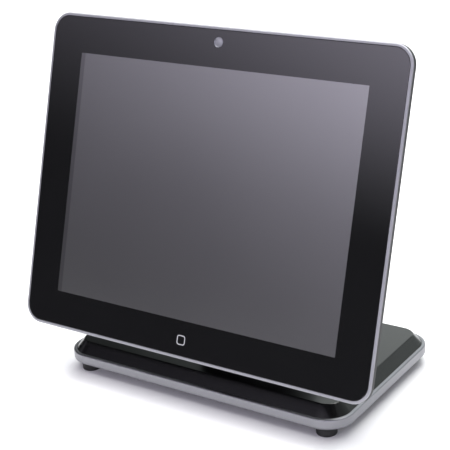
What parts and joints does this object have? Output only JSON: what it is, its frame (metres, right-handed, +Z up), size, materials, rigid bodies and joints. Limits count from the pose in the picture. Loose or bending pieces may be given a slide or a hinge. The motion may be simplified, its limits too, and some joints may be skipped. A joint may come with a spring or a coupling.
{
  "type": "self-service checkout terminal",
  "caption": "Countertop touch-screen checkout terminal: a leaned-back black glass head in a thin silver frame on a friction-tilt neck and a low weighted base.",
  "frame": {"origin": "on the counter, under the middle of the terminal's bounding box", "axes": "+Z up, +X to the right of somebody facing the screen, +Y away from them, towards the back"},
  "size_m": [0.378, 0.1998, 0.3371],
  "materials": {
    "black_glass": "glossy black cover glass",
    "silver_metal": "fine bead-blasted satin",
    "black_plastic": "fine moulded texture",
    "satin_plastic": "satin moulded",
    "dark_metal": "fine black powder coat",
    "zinc_steel": "zinc plated sheet",
    "bright_steel": "turned steel",
    "black_screw": "black oxide",
    "rubber": "matte",
    "panel": "display panel",
    "board": "green solder mask",
    "chip": "chip resin",
    "cooler": "anodised",
    "socket_metal": "nickel plated",
    "lens": "camera window",
    "trim": "satin ring",
    "foam": "foam and adhesive",
    "clear_plastic": "light pipe"
  },
  "bodies": {
    "stand": {"base_rim": "silver_metal", "base_deck": "satin_plastic", "base_plate": "dark_metal", "ballast_weights": "zinc_steel", "base_screws": "black_screw", "foot_front_left": "rubber", "foot_front_right": "rubber", "foot_back_left": "rubber", "foot_back_right": "rubber", "neck_bracket": "dark_metal", "bracket_bolts": "bright_steel", "neck_front_cover": "satin_plastic", "neck_rear_cover": "satin_plastic", "neck_screws": "black_screw", "cable_grommet": "rubber", "tilt_shaft": "bright_steel", "friction_washers": "bright_steel", "spring_washers": "bright_steel", "lock_nuts": "bright_steel", "hinge_caps": "satin_plastic"},
    "head": {"touch_glass": "black_glass", "bezel_frame": "silver_metal", "glass_adhesive": "foam", "camera_ring": "trim", "camera_window": "lens", "camera_module": "chip", "lcd_panel": "panel", "screen_gasket": "foam", "panel_brackets": "zinc_steel", "chassis": "zinc_steel", "mount_posts": "zinc_steel", "main_board": "board", "board_standoffs": "bright_steel", "board_screws": "bright_steel", "processor": "chip", "heat_sink": "cooler", "memory_socket": "chip", "memory_module": "board", "clock_cell": "bright_steel", "power_switch": "chip", "status_light": "clear_plastic", "drive_bracket": "zinc_steel", "storage_drive": "cooler", "speaker_left": "black_plastic", "speaker_right": "black_plastic", "touch_controller": "board", "ethernet_port": "socket_metal", "usb_ports": "socket_metal", "serial_ports": "socket_metal", "power_inlet": "black_plastic", "port_panel": "zinc_steel", "rear_cover": "black_plastic", "cover_screws": "black_screw", "mount_plate": "dark_metal", "mount_screws": "black_screw", "knuckle_cover": "satin_plastic"},
    "port_door": {"port_door": "black_plastic"},
    "drive_door": {"drive_door": "black_plastic"},
    "power_button": {"power_button": "satin_plastic"}
  },
  "joints": [
    {"name": "head_tilt", "type": "hinge", "parent": "stand", "child": "head", "pos_m": [0, 0.00209, 0.1429], "axis": [-1, 0, 0], "range_deg": [-10, 45]},
    {"name": "port_door_hinge", "type": "hinge", "parent": "head", "child": "port_door", "pos_m": [0, -0.04221, 0.1001], "axis": [1, 0, 0], "range_deg": [0, 95]},
    {"name": "drive_door_hinge", "type": "hinge", "parent": "head", "child": "drive_door", "pos_m": [0, -0.00673, 0.20928], "axis": [-1, 0, 0], "range_deg": [0, 95]},
    {"name": "power_button_press", "type": "slide", "parent": "head", "child": "power_button", "axis": [0, -0.9511, 0.309], "range_m": [0, 0.001], "stiffness_N_per_m": 500, "springref_m": -0.0004}
  ]
}
